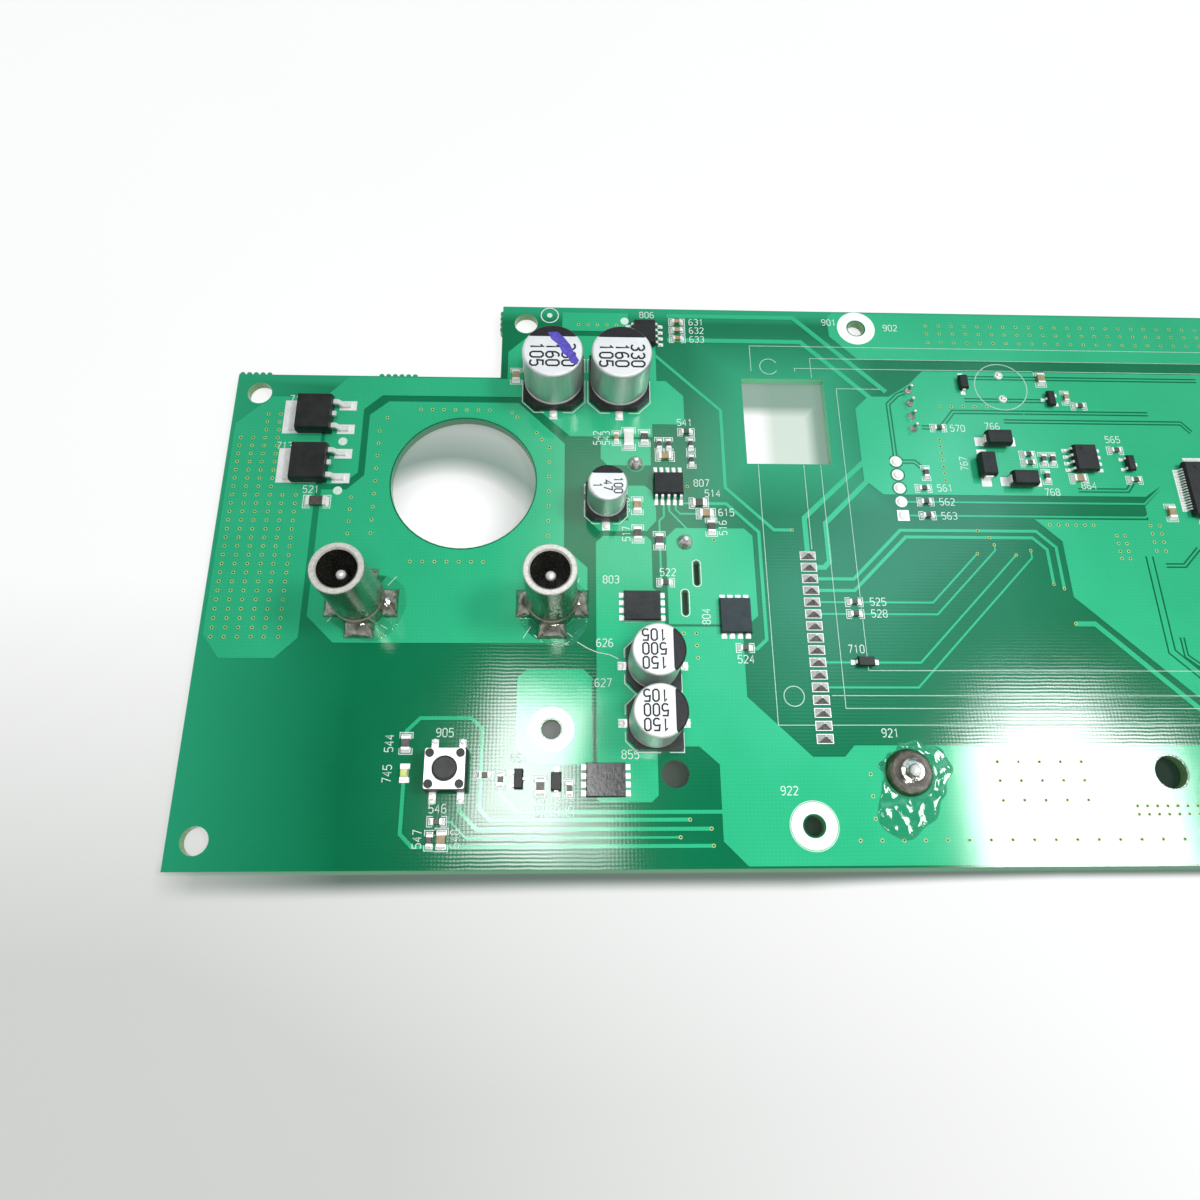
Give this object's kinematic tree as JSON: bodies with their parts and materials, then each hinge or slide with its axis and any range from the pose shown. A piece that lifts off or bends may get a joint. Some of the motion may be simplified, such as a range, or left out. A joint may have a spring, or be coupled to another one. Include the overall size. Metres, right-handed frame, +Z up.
{
  "type": "printed circuit board",
  "caption": "Stepped green circuit board with a round port, a square window, coaxial jacks, electrolytic capacitors, chips and a push switch.",
  "frame": {"origin": "middle of the board's bounding box, on the laminate's underside", "axes": "+X along the board's length away from the narrow wing, +Y towards the stepped rear edge, +Z up out of the parts side"},
  "size_m": [0.18, 0.097, 0.017],
  "materials": {
    "laminate": "satin green mask over glass laminate",
    "mask_copper": "green mask over etched copper",
    "solder": "tinned",
    "can_metal": "satin drawn can",
    "base_plastic": "moulded",
    "jack_metal": "plated, dull rim",
    "insulator": "moulded",
    "pin_metal": "plated",
    "cover_steel": "satin",
    "dome_steel": "bright",
    "switch_plastic": "moulded",
    "plunger_plastic": "moulded",
    "lens": "clear yellow-green",
    "led_carrier": "white",
    "ceramic": "fired",
    "resistor_glaze": "glazed",
    "lead_tin": "tinned",
    "package_plastic": "moulded"
  },
  "bodies": {
    "board": {"laminate": "laminate", "copper_layer": "mask_copper", "solder_lands": "solder", "plated_rings": "solder", "large_capacitor_cans": "can_metal", "large_capacitor_bases": "base_plastic", "large_capacitor_leads": "lead_tin", "medium_capacitor_cans": "can_metal", "medium_capacitor_bases": "base_plastic", "medium_capacitor_leads": "lead_tin", "small_capacitor_can": "can_metal", "small_capacitor_base": "base_plastic", "small_capacitor_leads": "lead_tin", "left_jack_sleeve": "jack_metal", "right_jack_sleeve": "jack_metal", "jack_insulators": "insulator", "jack_pins": "pin_metal", "jack_solder": "solder", "power_diode_bodies": "package_plastic", "power_diode_tabs": "lead_tin", "power_diode_leads": "lead_tin", "dual_chip_bodies": "package_plastic", "dual_chip_leads": "lead_tin", "controller_body": "package_plastic", "controller_leads": "lead_tin", "power_transistor_bodies": "package_plastic", "power_transistor_leads": "lead_tin", "switch_base": "switch_plastic", "switch_cover": "cover_steel", "switch_terminals": "lead_tin", "switch_dome": "dome_steel", "led_base": "led_carrier", "led_lens": "lens", "led_ends": "lead_tin", "resistor_bodies": "resistor_glaze", "resistor_ends": "lead_tin", "ceramic_bodies": "ceramic", "ceramic_ends": "lead_tin", "small_transistor_bodies": "package_plastic", "small_transistor_leads": "lead_tin", "signal_diode_bodies": "package_plastic", "signal_diode_leads": "lead_tin", "clamp_diode_bodies": "package_plastic", "clamp_diode_leads": "lead_tin", "processor_body": "package_plastic", "processor_leads": "lead_tin", "stud_pin": "pin_metal", "stud_solder": "solder", "through_pins": "pin_metal", "pin_solder": "solder", "ribbon_solder": "solder"},
    "plunger": {"switch_plunger": "plunger_plastic"}
  },
  "joints": [
    {"name": "plunger_press", "type": "slide", "parent": "board", "child": "plunger", "axis": [0, 0, -1], "range_m": [0, 0.00025], "stiffness_N_per_m": 5000, "deforming": ["switch_dome"]}
  ]
}
